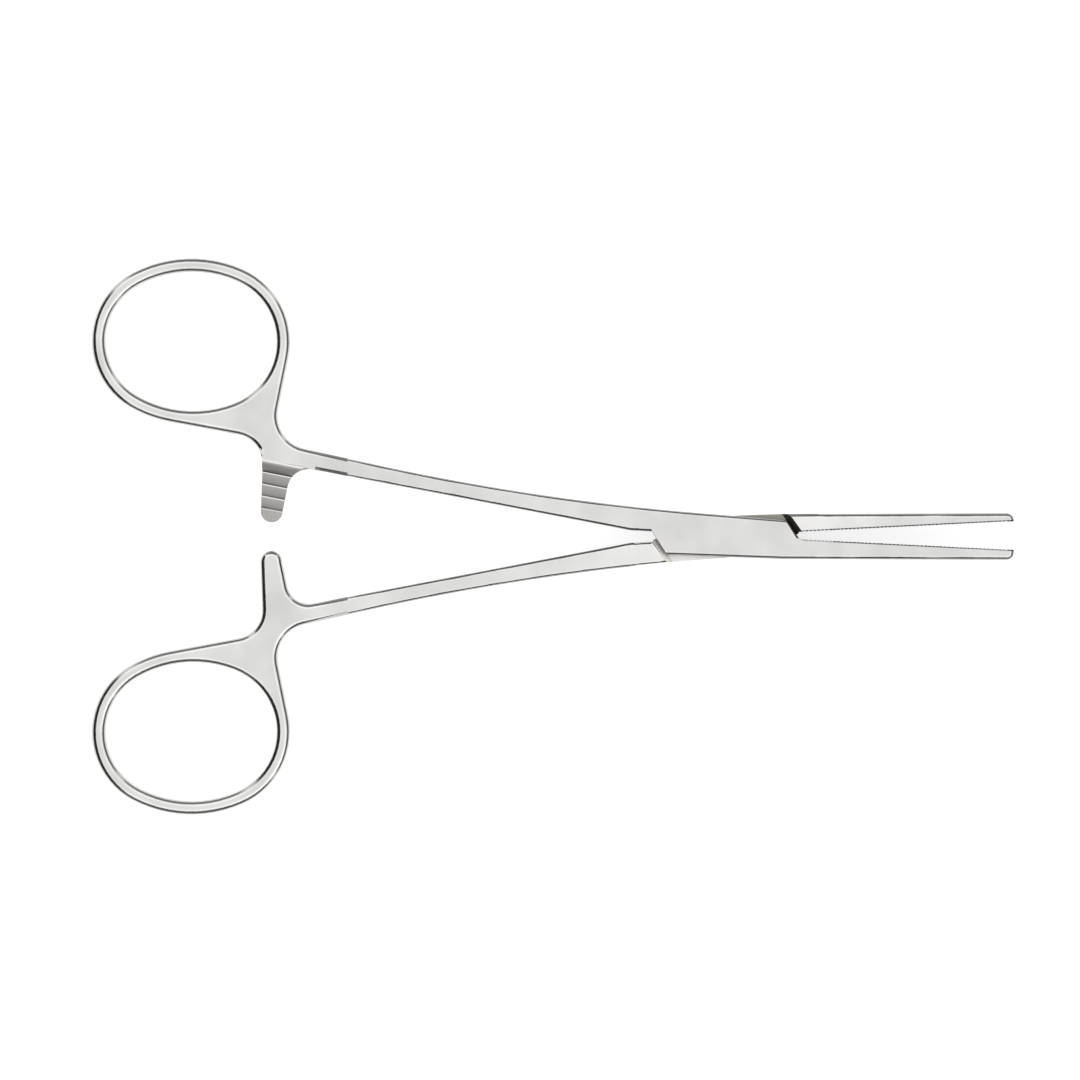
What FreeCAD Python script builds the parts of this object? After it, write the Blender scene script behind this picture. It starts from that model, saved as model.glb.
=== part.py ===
"""Hemostat forceps with a box lock: two forged arms and the pin that joins them.

Frame: +X towards the jaw tips, +Y towards the ring of the box arm, +Z up. The origin is on the
pin's axis, on the flat underside of the lock. The arms are modelled as they lie, a little open.
"""
import FreeCAD, Part
import math
import os
import re

import Sketcher
from FreeCAD import Placement, Rotation, Vector

# Driving dimensions, in millimetres and degrees
SIZES = [
    ("box_thickness", 5.0, "lock, underside to top"),
    ("stock", 1.0, "extra height of the blank, and how far cuts reach past it"),
    ("rest_half_angle", 2.8, "half the angle at which the arms lie open"),
    # Finger rings: ovals of four arcs
    ("ring_back", 81.3, "ring's centre behind the pin"),
    ("ring_out", 29.65, "ring's centre off the middle line"),
    ("ring_half_length", 13.0, "half the finger hole's length"),
    ("ring_half_width", 10.55, "half the finger hole's width"),
    ("ring_side_radius", 17.2, "the hole's long, flat sides"),
    ("ring_shift", 0.25, "middle of the flat sides, ahead of the ring's centre"),
    ("ring_tilt", 1.2, "turn of the finger hole"),
    ("ring_wall", 2.05, "width of the ring's rim"),
    ("handle_thickness", 3.4, "ring, web and ratchet bar, underside to top"),
    # Web between ring, bar and shank
    ("web_under_slope", 10.5, "slope of the web's edge behind the bar"),
    ("web_side_lean", 11.5, "lean of the web's edge above the shank"),
    ("web_drop", 15.15, "corner of web and shank, inside the ring's centre"),
    ("web_rear_round", 4.3, "corner of web and bar"),
    ("web_front_round", 5.1, "corner of web and shank"),
    # Shanks
    ("shank_drop", 18.85, "shank's inner edge at the bar, inside the ring's centre"),
    ("shank_bar_round", 3.3, "corner of shank and bar"),
    ("taper_back", 57.5, "pin to the web's end, where the shank starts to swell towards the lock"),
    ("taper_out", 11.85, "shank's outer edge there, off the middle line"),
    ("taper_width", 2.7, "width of the shank there"),
    ("throat_back", 14.6, "pin to the narrow end of the space between the shanks"),
    ("throat_out", 0.96, "shank's inner edge there, off the middle line"),
    ("swell_end", 3.34, "pin to the end of the shank's outer curve, on the lock's side"),
    # Box lock
    ("box_edge", 3.2, "shank side of the lock, off the pin"),
    ("box_edge_slope", 4.65, "slope of that side"),
    ("box_belly", 3.12, "other side of the lock, off the pin"),
    ("box_belly_slope", 2.0, "slope of the other side"),
    ("lock_reach", 13.0, "full thickness of the lock, each way from the pin"),
    ("crotch_out", 0.78, "fork of the shanks off the middle line"),
    ("plate_reach", 10.75, "pin to the plates' slanted ends"),
    ("plate_slope", 58.0, "slope of the plates' ends"),
    ("plate_round", 0.6, "plates' front corner"),
    ("rear_corner_share", 0.9, "how much of a slanted end lies behind the rear corner"),
    ("front_corner_share", 0.765, "how much of a slanted end lies behind the front corner"),
    ("root_ahead", 0.25, "root of the jaw's inner face ahead of the plates' reach"),
    ("slot_height", 2.0, "slot between the plates"),
    ("lock_clearance", 0.05, "running gap between tongue and plates"),
    ("tongue_reach", 11.3, "pin to the start of the tongue's slanted edge"),
    ("tongue_waist", 1.75, "pin to the end of that edge, along the lock"),
    ("shoulder_reach", 11.54, "pin to the shoulders' top edges"),
    ("shoulder_slope", 57.2, "slope of the shoulders"),
    ("shoulder_lean", 29.0, "lean of the shoulders' ramps from upright"),
    ("shoulder_gap", 0.1, "gap between closed plate ends and ramps"),
    ("pin_radius", 1.1, "lock pin"),
    ("pin_clearance", 0.03, "running gap round the pin, in the tongue"),
    # Jaws
    ("jaw_reach", 43.65, "pin to the jaw tips"),
    ("jaw_bend", 8.5, "pin to the start of the jaw's straight back"),
    ("jaw_back", 3.55, "back of the jaw off the middle line, at its tip"),
    ("jaw_line", 0.15, "meeting line of the jaws off the pin"),
    ("jaw_gap", 0.06, "gap between the closed jaws"),
    ("jaw_tip_thickness", 3.0, "jaw tips, underside to top"),
    ("tip_round", 1.1, "rounding of the tips' outer corners"),
    ("serration_start", 11.4, "pin to the first cross groove of the jaw"),
    ("serration_pitch", 1.0, "distance between the cross grooves"),
    ("serration_depth", 0.3, "depth of the cross grooves"),
    ("serration_share", 0.9, "share of the pitch that a groove takes at the crests"),
    # Ratchet bars
    ("bar_ahead", 12.2, "bar's round end, ahead of the ring's centre"),
    ("bar_tip", 2.15, "end of the bar off the middle line"),
    ("bar_width", 3.3, "width of the bar near its end"),
    ("bar_flare", 1.4, "how much the bar widens ahead, up to the shank"),
    ("bar_slant", 0.4, "how far the bar's rear edge slants ahead, up to the web"),
    ("bar_gap", 0.1, "height left between the bars where they pass"),
    ("tooth_pitch", 1.8, "distance between the ratchet teeth"),
    ("tooth_depth", 0.5, "height of the ratchet teeth"),
    ("tooth_tilt", 11.0, "turn of the box arm's teeth across the bar"),
    ("tooth_start", 4.05, "first tooth off the middle line"),
    ("ramp_radius", 2.3, "hollow ramp behind the teeth"),
    ("ratchet_width", 9.2, "length of the ratchet's cuts across the bar"),
    # Edge roundings
    ("handle_bevel", 0.5, "edges of ring, web and bar"),
    ("shank_round", 0.55, "edges of the shank and the lock's shank side"),
    ("back_round", 0.65, "edges along the lock's belly and the jaw's back"),
]

# Sizes that follow from the ones above
WORKED_OUT = [
    ("ring_rear_radius", "(ring_side_radius^2 - (ring_side_radius - ring_half_width)^2"
     " - (ring_half_length + ring_shift)^2) / (2 * (ring_side_radius - ring_half_length - ring_shift))",
     "the hole's rear end"),
    ("ring_front_radius", "(ring_side_radius^2 - (ring_side_radius - ring_half_width)^2"
     " - (ring_half_length - ring_shift)^2) / (2 * (ring_side_radius - ring_half_length + ring_shift))",
     "the hole's front end"),
]
NAMES = {row[0] for row in SIZES + WORKED_OUT}

# Grooves across each ratchet bar
TOOTH_GROOVES = 3

# How far the crests of the serrations stand over the meeting line of the jaws
CREST_RISE = "0.4 * serration_depth"


def make_sheet(doc):
    """Write the driving dimensions into a sheet, one named cell each."""
    sheet = doc.addObject("Spreadsheet::Sheet", "Sizes")
    rows = SIZES + [(name, "=" + text, meaning) for name, text, meaning in WORKED_OUT]
    for row, (name, size, meaning) in enumerate(rows, 1):
        sheet.set(f"A{row}", meaning)
        sheet.set(f"B{row}", str(size))
        sheet.setAlias(f"B{row}", name)
    doc.recompute()
    return sheet


def formula(text):
    """Point every size named in a formula at its cell in the sheet."""
    return re.sub(r"[a-z_]+", lambda word: ("Sizes." if word[0] in NAMES else "") + word[0], text)


def measure(text):
    """The value that a formula of sizes has now."""
    return float(doc.Sizes.evalExpression(formula(text)))


# Sketching helpers

def new_sketch(body, name, plane="XY_Plane", turn="0", lift="0", ahead="0"):
    """A sketch on one of the body's planes, turned about the upright and shifted by formulas."""
    sketch = body.newObject("Sketcher::SketchObject", name)
    origin_plane = [item for item in body.Origin.OriginFeatures if item.Role == plane][0]
    sketch.AttachmentSupport = [(origin_plane, "")]
    sketch.MapMode = "FlatFace"
    upright = Vector(0, 0, 1) if plane == "XY_Plane" else Vector(0, 1, 0)
    sketch.AttachmentOffset = Placement(Vector(), Rotation(upright, measure(turn) or 0.001))
    sketch.setExpression("AttachmentOffset.Rotation.Angle", formula(f"({turn}) * 1 deg"))
    sketch.setExpression("AttachmentOffset.Base.x", formula(ahead))
    sketch.setExpression("AttachmentOffset.Base.z", formula(lift))
    return sketch


def pin_point(sketch, shape, end, point):
    """Hold one end of a drawn shape at a point given by two formulas."""
    for kind, text in zip(("DistanceX", "DistanceY"), point):
        rule = sketch.addConstraint(Sketcher.Constraint(kind, -1, 1, shape, end, measure(text)))
        sketch.setExpression(f"Constraints[{rule}]", formula(text))


def here(point):
    """A point in the sketch from its two formulas."""
    return Vector(measure(point[0]), measure(point[1]), 0)


def draw_line(sketch, start, end):
    """A straight side between two points."""
    shape = sketch.addGeometry(Part.LineSegment(here(start), here(end)), False)
    pin_point(sketch, shape, 1, start)
    pin_point(sketch, shape, 2, end)


def draw_polygon(sketch, points):
    """Straight sides through all points and back to the first."""
    for start, end in zip(points, points[1:] + points[:1]):
        draw_line(sketch, start, end)


def draw_arc(sketch, start, end, radius, left=False):
    """An arc of less than half a turn between two points, bending right unless told otherwise."""
    first, last = here(start), here(end)
    if not left:
        first, last = last, first
        start, end = end, start
    size = measure(radius)
    chord = last - first
    rise = (size ** 2 - (chord.Length / 2) ** 2) ** 0.5
    centre = (first + last) / 2 + Vector(-chord.y, chord.x, 0).normalize() * rise
    angles = [math.atan2(point.y - centre.y, point.x - centre.x) for point in (first, last)]
    circle = Part.Circle(centre, Vector(0, 0, 1), size)
    shape = sketch.addGeometry(Part.ArcOfCircle(circle, *angles), False)
    pin_point(sketch, shape, 1, start)
    pin_point(sketch, shape, 2, end)
    rule = sketch.addConstraint(Sketcher.Constraint("Radius", shape, size))
    sketch.setExpression(f"Constraints[{rule}]", formula(radius))


def draw_circle(sketch, radius):
    """A circle about the sketch's origin."""
    circle = sketch.addGeometry(Part.Circle(Vector(), Vector(0, 0, 1), measure(radius)), False)
    pin_point(sketch, circle, 3, ("0", "0"))
    rule = sketch.addConstraint(Sketcher.Constraint("Radius", circle, measure(radius)))
    sketch.setExpression(f"Constraints[{rule}]", formula(radius))


# Feature helpers

def pad(body, name, sketch, length):
    """Grow a sketch upwards by a formula's length."""
    feature = body.newObject("PartDesign::Pad", name)
    feature.Profile = sketch
    feature.setExpression("Length", formula(length))
    doc.recompute()
    return feature


def pocket(body, name, sketch, length, both_ways=True):
    """Cut a sketch's shape away, and make sure that something was cut."""
    feature = body.newObject("PartDesign::Pocket", name)
    feature.Profile = sketch
    feature.SideType = "Symmetric" if both_ways else "One side"
    feature.Reversed = not both_ways
    feature.setExpression("Length", formula(length))
    doc.recompute()
    cut = feature.AddSubShape.common(feature.BaseFeature.Shape).Volume
    print(f"{name} cuts {cut:.2f} mm3")
    if cut <= 0:
        raise ValueError(f"{name} cuts nothing")
    return feature


def repeat(body, name, feature, sketch, length, count):
    """Repeat a cut along its sketch's own horizontal axis."""
    pattern = body.newObject("PartDesign::LinearPattern", name)
    pattern.Originals = [feature]
    pattern.Direction = (sketch, ["H_Axis"])
    pattern.setExpression("Length", formula(length))
    pattern.setExpression("Occurrences", formula(count))
    body.Tip = pattern
    doc.recompute()
    return pattern


def soften_edges(body, name, kind, wanted, size):
    """Fillet or chamfer the edges between a level or gently sloping face and a wall, where wanted says so."""
    base = body.Tip
    caps = [face for face in base.Shape.Faces if abs(face.normalAt(*middle_of(face)).z) > 0.7]
    picked = []
    for number, edge in enumerate(base.Shape.Edges, 1):
        owners = [face for face in caps if any(edge.isSame(other) for other in face.Edges)]
        if len(owners) == 1 and wanted(edge.valueAt((edge.FirstParameter + edge.LastParameter) / 2)):
            picked.append(f"Edge{number}")
    feature = body.newObject(f"PartDesign::{kind}", name)
    feature.Base = (base, picked)
    feature.setExpression({"Fillet": "Radius", "Chamfer": "Size"}[kind], formula(size))
    doc.recompute()
    print(f"{name} softens {len(picked)} edges, {feature.State}")


def round_corner(body, name, place, radius):
    """Round the upright edge that stands nearest to a place in the plan."""
    base = body.Tip
    target = here(place)
    upright = []
    for number, edge in enumerate(base.Shape.Edges, 1):
        low, high = edge.valueAt(edge.FirstParameter), edge.valueAt(edge.LastParameter)
        if abs(high.z - low.z) > 2 * Vector(high.x - low.x, high.y - low.y, 0).Length:
            upright.append((Vector(low.x, low.y, 0).distanceToPoint(target), f"Edge{number}"))
    feature = body.newObject("PartDesign::Fillet", name)
    feature.Base = (base, [min(upright)[1]])
    feature.setExpression("Radius", formula(radius))
    doc.recompute()
    print(f"{name}: {feature.State}")


def middle_of(face):
    """Middle of a face in its own two parameters."""
    low_u, high_u, low_v, high_v = face.ParameterRange
    return (low_u + high_u) / 2, (low_v + high_v) / 2


# Places on an arm, drawn as the box arm lies: ring up, jaw down

RING_MIDDLE = "(ring_side_radius - ring_half_width)"
BAR_X = "(bar_ahead - ring_back)"
BAR_LEFT = f"({BAR_X} - bar_width / 2)"
BAR_RIGHT = f"({BAR_X} + bar_width / 2)"


def ring_place(along, across):
    """A place given from the ring's centre, along and across its oval."""
    turn = "(ring_tilt * 1 deg)"
    x = f"(({along}) * cos({turn}) + ({across}) * sin({turn}) - ring_back)"
    y = f"(ring_out - ({along}) * sin({turn}) + ({across}) * cos({turn}))"
    return x, y


def ring_joint(sign, end, grow="0"):
    """Where a flat side's arc meets the arc of the rear or front end, above or below."""
    radius = f"ring_{end}_radius"
    reach, out = {"rear": ("-(ring_half_length - {0})", "(ring_half_length - {0} + ring_shift)"),
                  "front": ("(ring_half_length - {0})", "-(ring_half_length - {0} - ring_shift)")}[end]
    share = f"({radius} + {grow}) / (ring_side_radius - {radius})"
    along = f"{reach.format(radius)} - {out.format(radius)} * {share}"
    return ring_place(along, f"{sign} * {RING_MIDDLE} * {share}")


def box_edge(x):
    """Shank side of the lock at x."""
    return f"(box_edge - ({x}) * tan(box_edge_slope * 1 deg))"


def belly(x):
    """Side of the lock away from the shank at x."""
    return f"-(box_belly + ({x}) * tan(box_belly_slope * 1 deg))"


def jaw_face(x, side):
    """Crests of the jaw's inner face at x."""
    rise = f"({side} * jaw_line - jaw_gap / 2 + {CREST_RISE})"
    return f"({rise} / cos(rest_half_angle * 1 deg) - ({x}) * tan(rest_half_angle * 1 deg))"


def lock_corners(side):
    """Fork of the shanks, rear and front corners of the lock and root of the jaw."""
    lean = "tan(plate_slope * 1 deg)"
    fork = (f"-(plate_reach + crotch_out / {lean})", "crotch_out")
    rear_x = f"-(plate_reach - box_belly / {lean} * rear_corner_share)"
    front_x = f"(plate_reach - box_edge / {lean} * front_corner_share)"
    root_x = "(plate_reach + root_ahead)"
    root = root_x, jaw_face(root_x, side)
    return fork, (rear_x, belly(rear_x)), (front_x, box_edge(front_x)), root


def web_corners():
    """Ends of the web's straight edges: at the ring below and the bar, at the ring ahead and the shank."""
    under, lean = "(web_under_slope * 1 deg)", "(web_side_lean * 1 deg)"
    side_x, side_y = ring_place("ring_shift", RING_MIDDLE)
    side = "(ring_side_radius + ring_wall)"
    below = f"({side_x} - {side} * sin{under})", f"({side_y} - {side} * cos{under})"
    bar_x = f"({BAR_LEFT} + bar_slant)"
    at_bar = bar_x, f"({below[1]} - ({bar_x} - {below[0]}) * tan{under})"
    end_x, end_y = ring_place("(ring_half_length - ring_front_radius)", "0")
    end = "(ring_front_radius + ring_wall)"
    ahead = f"({end_x} + {end} * cos{lean})", f"({end_y} - {end} * sin{lean})"
    shank_y = "(ring_out - web_drop)"
    at_shank = f"({ahead[0]} - ({ahead[1]} - {shank_y}) * tan{lean})", shank_y
    return below, at_bar, ahead, at_shank


def shank_corner():
    """Corner of the shank's inner edge and the bar."""
    return f"({BAR_RIGHT} + bar_flare)", "(ring_out - shank_drop)"


def handle_outline(sketch):
    """Ratchet bar, ring and web seen from above, with a stub that reaches into the shank."""
    below, at_bar, ahead, at_shank = web_corners()
    bar_end = "(bar_tip + bar_width / 2)"
    draw_line(sketch, (BAR_LEFT, bar_end), at_bar)
    draw_line(sketch, at_bar, below)
    ring = [below, ring_joint(-1, "rear", "ring_wall"), ring_joint(1, "rear", "ring_wall"),
            ring_joint(1, "front", "ring_wall"), ahead]
    radii = ["ring_side_radius", "ring_rear_radius", "ring_side_radius", "ring_front_radius"]
    for start, end, radius in zip(ring, ring[1:], radii):
        draw_arc(sketch, start, end, f"({radius} + ring_wall)")

    stub = "(taper_width / 3 - taper_back)"
    top, low = "(taper_out - taper_width / 3)", "(taper_out - taper_width * 2 / 3)"
    edge = [ahead, at_shank, ("-taper_back", "taper_out"), ("-taper_back", top), (stub, top), (stub, low),
            ("-taper_back", low), ("-taper_back", "(taper_out - taper_width)"), shank_corner(),
            (BAR_RIGHT, bar_end)]
    for start, end in zip(edge, edge[1:]):
        draw_line(sketch, start, end)
    middle = BAR_X, "bar_tip"
    draw_arc(sketch, (BAR_RIGHT, bar_end), middle, "bar_width / 2")
    draw_arc(sketch, middle, (BAR_LEFT, bar_end), "bar_width / 2")


def shank_outline(sketch, side):
    """Shank, lock and jaw seen from above."""
    fork, rear, front, root = lock_corners(side)

    # Outer edge of the shank: one arc that leaves the lock along the lock's own side
    shank_end = "-swell_end", box_edge("-swell_end")
    run = f"({shank_end[0]} + taper_back)"
    rise = f"(taper_out - {shank_end[1]})"
    bend = f"(atan({rise} / {run}) - box_edge_slope * 1 deg)"
    draw_arc(sketch, ("-taper_back", "taper_out"), shank_end, f"sqrt({run}^2 + {rise}^2) / (2 * sin{bend})",
             left=True)
    edge = [shank_end, front, root, ("jaw_reach", jaw_face("jaw_reach", side)), ("jaw_reach", "-jaw_back"),
            ("jaw_bend", belly("jaw_bend")), rear, fork, ("-throat_back", "throat_out"),
            ("-taper_back", "(taper_out - taper_width)"), ("-taper_back", "taper_out")]
    for start, end in zip(edge, edge[1:]):
        draw_line(sketch, start, end)


def side_profile(sketch):
    """What is forged away above and below: thin handle, full lock, tapering jaw."""
    for sign, upper in (("1", True), ("-1", False)):
        def level(half):
            return f"(box_thickness / 2 + {sign} * ({half}))"

        handle = level("handle_thickness / 2")
        lock = level("box_thickness / 2")
        tip = level("jaw_tip_thickness / 2")
        waste = level("box_thickness / 2 + 3 * stock")
        back = "-(taper_back + stock)"
        ahead = "(jaw_reach + stock)"
        half_way = "(-(taper_back + lock_reach) / 2)", f"(({handle} + {lock}) / 2)"

        # The shank swells towards the lock in two arcs, and the jaw thins in one
        swell = swell_radius("(taper_back - lock_reach) / 2", "(box_thickness - handle_thickness) / 4")
        thin = swell_radius("jaw_reach - lock_reach", "(box_thickness - jaw_tip_thickness) / 2")
        draw_line(sketch, (back, handle), ("-taper_back", handle))
        draw_arc(sketch, ("-taper_back", handle), half_way, swell, left=upper)
        draw_arc(sketch, half_way, ("-lock_reach", lock), swell, left=not upper)
        draw_line(sketch, ("-lock_reach", lock), ("lock_reach", lock))
        draw_arc(sketch, ("lock_reach", lock), ("jaw_reach", tip), thin, left=not upper)
        edge = [("jaw_reach", tip), (ahead, tip), (ahead, waste), (back, waste), (back, handle)]
        for start, end in zip(edge, edge[1:]):
            draw_line(sketch, start, end)


def swell_radius(run, rise):
    """Radius of an arc that leaves a level face smoothly and rises so much over a run."""
    return f"((({run})^2 + ({rise})^2) / (2 * ({rise})))"


def forge_handle(label):
    """Ring, web and ratchet bar: one level plate with its finger hole and bevelled edges."""
    body = doc.addObject("PartDesign::Body", f"{label}_handle")
    plan = new_sketch(body, f"{label}_handle_plan", lift="(box_thickness - handle_thickness) / 2")
    handle_outline(plan)
    pad(body, f"{label}_handle_plate", plan, "handle_thickness")

    below, at_bar, ahead, at_shank = web_corners()
    round_corner(body, f"{label}_web_rear_corner", at_bar, "web_rear_round")
    round_corner(body, f"{label}_web_front_corner", at_shank, "web_front_round")
    round_corner(body, f"{label}_bar_corner", shank_corner(), "shank_bar_round")

    hole = new_sketch(body, f"{label}_finger_hole")
    joints = [ring_joint(-1, "rear"), ring_joint(1, "rear"), ring_joint(1, "front"), ring_joint(-1, "front")]
    radii = ["ring_rear_radius", "ring_side_radius", "ring_front_radius", "ring_side_radius"]
    for start, end, radius in zip(joints, joints[1:] + joints[:1], radii):
        draw_arc(hole, start, end, radius)
    pocket(body, f"{label}_finger_opening", hole, "4 * box_thickness")

    web_end = measure("-taper_back - handle_bevel / 10")
    soften_edges(body, f"{label}_handle_edges", "Chamfer", lambda point: point.x < web_end, "handle_bevel")
    return body


def forge_shank(label, side):
    """Shank, lock and jaw: a thick blank, forged thinner towards both ends, with rounded edges."""
    body = doc.addObject("PartDesign::Body", f"{label}_shank")
    plan = new_sketch(body, f"{label}_plan", lift="-stock")
    shank_outline(plan, side)
    pad(body, f"{label}_blank", plan, "box_thickness + 2 * stock")

    profile = new_sketch(body, f"{label}_profile", "XZ_Plane")
    side_profile(profile)
    pocket(body, f"{label}_forging", profile, "4 * taper_out")
    round_corner(body, f"{label}_plate_corner", lock_corners(side)[2], "plate_round")
    round_corner(body, f"{label}_tip_corner", ("jaw_reach", "-jaw_back"), "tip_round")

    fork_x = measure(lock_corners(side)[0][0])
    rear_x = measure(lock_corners(side)[1][0])
    web_end = measure("shank_round - taper_back")
    edge_low = measure("box_edge - 2 * shank_round")
    edge_lean = measure("tan(box_edge_slope * 1 deg)")
    belly_low = measure("box_belly - back_round")

    def on_shank(point):
        return web_end < point.x and (point.x < fork_x or point.y > edge_low - point.x * edge_lean)

    def on_back(point):
        return point.x > rear_x and point.y < -belly_low

    soften_edges(body, f"{label}_shank_edges", "Fillet", on_shank, "shank_round")
    soften_edges(body, f"{label}_back_edges", "Fillet", on_back, "back_round")
    return body


def join_arm(label, shank, handle):
    """The whole arm, forged in one piece."""
    arm = doc.addObject("Part::Fuse", label)
    arm.Base = shank
    arm.Tool = handle
    doc.recompute()
    return arm


def cut_ratchet(body, turn):
    """Thin the bar to half its height, with saw teeth that face the other arm's bar."""
    crest = "(box_thickness / 2 - bar_gap / 2)"
    root = f"({crest} - tooth_depth)"
    open_air = "(box_thickness + stock)"
    last = f"(tooth_start + {TOOTH_GROOVES} * tooth_pitch)"

    step = new_sketch(body, f"{body.Label}_ratchet_step", "XZ_Plane", turn, ahead=BAR_X)
    outside = "(bar_tip - 2 * tooth_pitch)"
    draw_line(step, (outside, open_air), (outside, crest))
    draw_line(step, (outside, crest), (last, crest))
    draw_line(step, (last, crest), (last, root))
    ramp_end = f"({last} + ramp_radius)"
    draw_arc(step, (last, root), (ramp_end, f"({root} + ramp_radius)"), "ramp_radius", left=True)
    draw_line(step, (ramp_end, f"({root} + ramp_radius)"), (ramp_end, open_air))
    draw_line(step, (ramp_end, open_air), (outside, open_air))
    pocket(body, f"{body.Label}_ratchet_face", step, "ratchet_width")

    # A groove drops to its root at once and climbs to the next crest; the cut goes half as far again
    tooth = new_sketch(body, f"{body.Label}_tooth", "XZ_Plane", turn, ahead=BAR_X)
    over = f"({crest} + tooth_depth / 2)"
    draw_polygon(tooth, [("tooth_start", root), ("(tooth_start + 1.5 * tooth_pitch)", over),
                         ("tooth_start", over)])
    groove = pocket(body, f"{body.Label}_tooth_groove", tooth, "ratchet_width")
    run = f"{TOOTH_GROOVES - 1} * tooth_pitch"
    repeat(body, f"{body.Label}_teeth", groove, tooth, run, f"{TOOTH_GROOVES}")


def cut_serrations(body, side):
    """Cross grooves over the whole inner face of the jaw, half a pitch apart on the two arms."""
    half = "(serration_share * serration_pitch / 2)"
    shift = "0" if side > 0 else "serration_pitch / 2"
    middle = f"(serration_start + {shift})"
    crest = f"({side} * jaw_line - jaw_gap / 2 + {CREST_RISE})"

    # The groove's sides are drawn on past the crests by half its depth
    sketch = new_sketch(body, f"{body.Label}_serration", turn="-rest_half_angle")
    draw_polygon(sketch, [(f"{middle} - {half} * 1.5", f"{crest} + serration_depth / 2"),
                          (middle, f"{crest} - serration_depth"),
                          (f"{middle} + {half} * 1.5", f"{crest} + serration_depth / 2")])
    groove = pocket(body, f"{body.Label}_serration_groove", sketch, "4 * box_thickness")
    count = "floor((jaw_reach - serration_start) / serration_pitch)"
    repeat(body, f"{body.Label}_serrations", groove, sketch, f"{count} * serration_pitch", f"{count} + 1")


SHOULDER_FACE = "(shoulder_reach * sin(shoulder_slope * 1 deg))"
RAMP_DEPTH = "((box_thickness - slot_height) / 2 + lock_clearance)"
RAMP_LEAN = "tan(shoulder_lean * 1 deg)"


def cut_slot(body):
    """The slot between the plates, its slanted end walls, and the plates' bevelled ends."""
    far = "(tongue_reach + 3 * stock)"
    wall = "(box_belly * 3 * stock / (tongue_reach - tongue_waist))"
    high = "(box_belly + 2 * lock_clearance)"
    rear = [(f"-{far}", f"(2 * lock_clearance - {wall})"), ("-tongue_waist", high),
            ("-tongue_waist", f"({high} + 3 * stock)"), (far, f"({high} + 3 * stock)")]
    front = [(f"-({x})", f"-({y})") for x, y in rear]
    slot = new_sketch(body, f"{body.Label}_slot_plan", turn="-rest_half_angle", lift="box_thickness / 2")
    draw_polygon(slot, rear + front)
    pocket(body, f"{body.Label}_slot", slot, "slot_height")

    hole = new_sketch(body, f"{body.Label}_pin_hole")
    draw_circle(hole, "pin_radius")
    pocket(body, f"{body.Label}_pin_bore", hole, "4 * box_thickness")

    # Both ends of both plates lean like the shoulders that close on them
    for name, turn in (("front", "90 - shoulder_slope - rest_half_angle"),
                       ("rear", "270 - shoulder_slope - rest_half_angle")):
        bevel = new_sketch(body, f"{body.Label}_{name}_bevel_plan", "XZ_Plane", turn)
        for sign in ("1", "-1"):
            def level(half):
                return f"(box_thickness / 2 + {sign} * ({half}))"

            foot = f"({SHOULDER_FACE} - {RAMP_DEPTH} * {RAMP_LEAN} - shoulder_gap)"
            top = f"({foot} + (box_thickness - slot_height) / 2 * {RAMP_LEAN})"
            draw_polygon(bevel, [(foot, level("slot_height / 2")), (top, level("box_thickness / 2")),
                                 (f"({top} + 3 * stock)", level("box_thickness / 2")),
                                 (f"({top} + 3 * stock)", level("slot_height / 2"))])
        pocket(body, f"{body.Label}_{name}_bevel", bevel, "4 * box_belly")


def cut_tongue(body):
    """Slant the tongue's two edges, thin it between leaning shoulders and bore it for the pin."""
    far = "(tongue_reach + 3 * stock)"
    front = [(far, "0"), ("tongue_reach", "0"), ("tongue_waist", "box_belly"),
             ("tongue_waist", "(box_belly + 3 * stock)"), (far, "(box_belly + 3 * stock)")]
    rear = [(f"-({x})", f"-({y})") for x, y in front]
    edges = new_sketch(body, f"{body.Label}_tongue_plan", turn="-rest_half_angle")
    draw_polygon(edges, front)
    draw_polygon(edges, rear)
    pocket(body, f"{body.Label}_tongue_edges", edges, "4 * box_thickness")

    section = new_sketch(body, f"{body.Label}_tongue_section", "XZ_Plane",
                         "shoulder_slope - 90 - rest_half_angle")
    for sign in ("1", "-1"):
        def level(half):
            return f"(box_thickness / 2 + {sign} * ({half}))"

        foot = f"({SHOULDER_FACE} - {RAMP_DEPTH} * {RAMP_LEAN})"
        brim = f"({SHOULDER_FACE} + stock * {RAMP_LEAN})"
        floor_level = level("slot_height / 2 - lock_clearance")
        brim_level = level("box_thickness / 2 + stock")
        draw_polygon(section, [(f"-{foot}", floor_level), (foot, floor_level),
                               (brim, brim_level), (f"-{brim}", brim_level)])
    pocket(body, f"{body.Label}_tongue_faces", section, "5 * box_belly")

    hole = new_sketch(body, f"{body.Label}_pin_hole")
    draw_circle(hole, "pin_radius + pin_clearance")
    pocket(body, f"{body.Label}_pin_bore", hole, "4 * box_thickness")


def make_pin():
    """The lock pin, ground flush with both faces of the box."""
    pin = doc.addObject("Part::Cylinder", "lock_pin")
    pin.setExpression("Radius", formula("pin_radius"))
    pin.setExpression("Height", formula("box_thickness"))
    pin.Placement = Placement()
    return pin


doc = FreeCAD.newDocument("hemostat_forceps")
make_sheet(doc)

box_handle = forge_handle("box_arm")
cut_ratchet(box_handle, "90 - tooth_tilt")
box_shank = forge_shank("box_arm", 1)
cut_slot(box_shank)
cut_serrations(box_shank, 1)
box_arm = join_arm("box_arm", box_shank, box_handle)

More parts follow.
